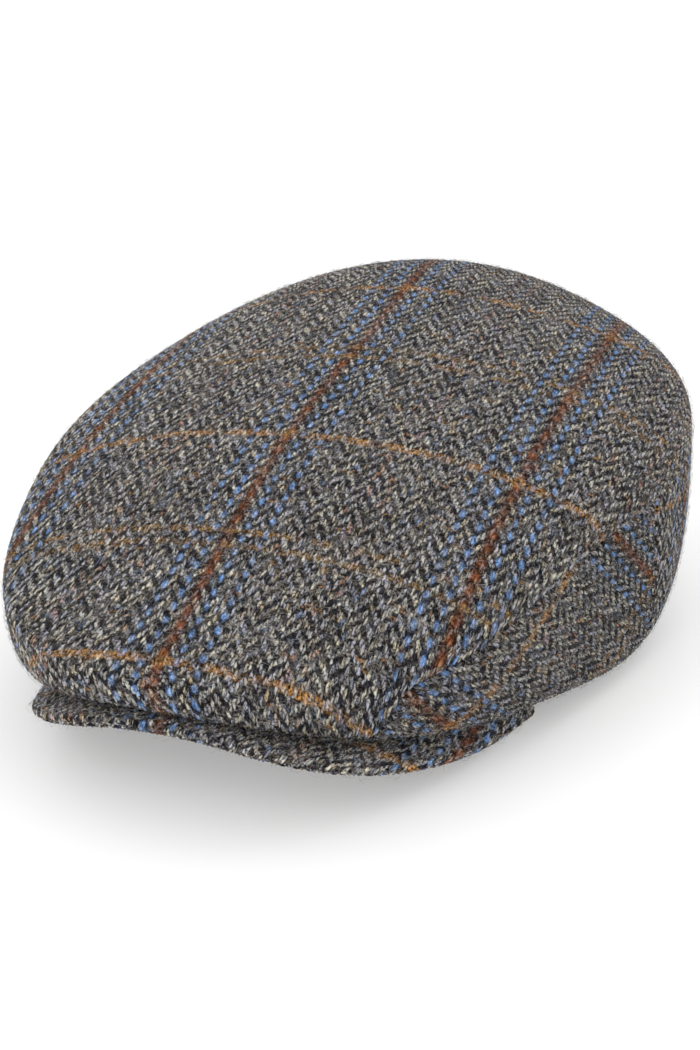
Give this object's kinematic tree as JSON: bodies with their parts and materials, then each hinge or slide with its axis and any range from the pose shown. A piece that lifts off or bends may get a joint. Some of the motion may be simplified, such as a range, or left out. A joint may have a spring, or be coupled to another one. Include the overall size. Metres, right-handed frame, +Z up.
{
  "type": "flat cap",
  "caption": "Soft tweed flat cap: a low domed crown of sewn panels, open below for the head, and a short curved peak in front.",
  "frame": {"origin": "on the surface that the cap stands on, under the middle of its bounding box", "axes": "-Y to the front where the peak is, +X to the wearer's left, +Z up through the top of the crown"},
  "size_m": [0.2169, 0.2712, 0.1059],
  "materials": {
    "tweed": "matte",
    "peak_tweed": "matte"
  },
  "bodies": {
    "root": {"crown_top": "tweed", "side_panel_left": "tweed", "side_panel_right": "tweed", "back_panel": "tweed", "peak": "peak_tweed"}
  },
  "joints": []
}
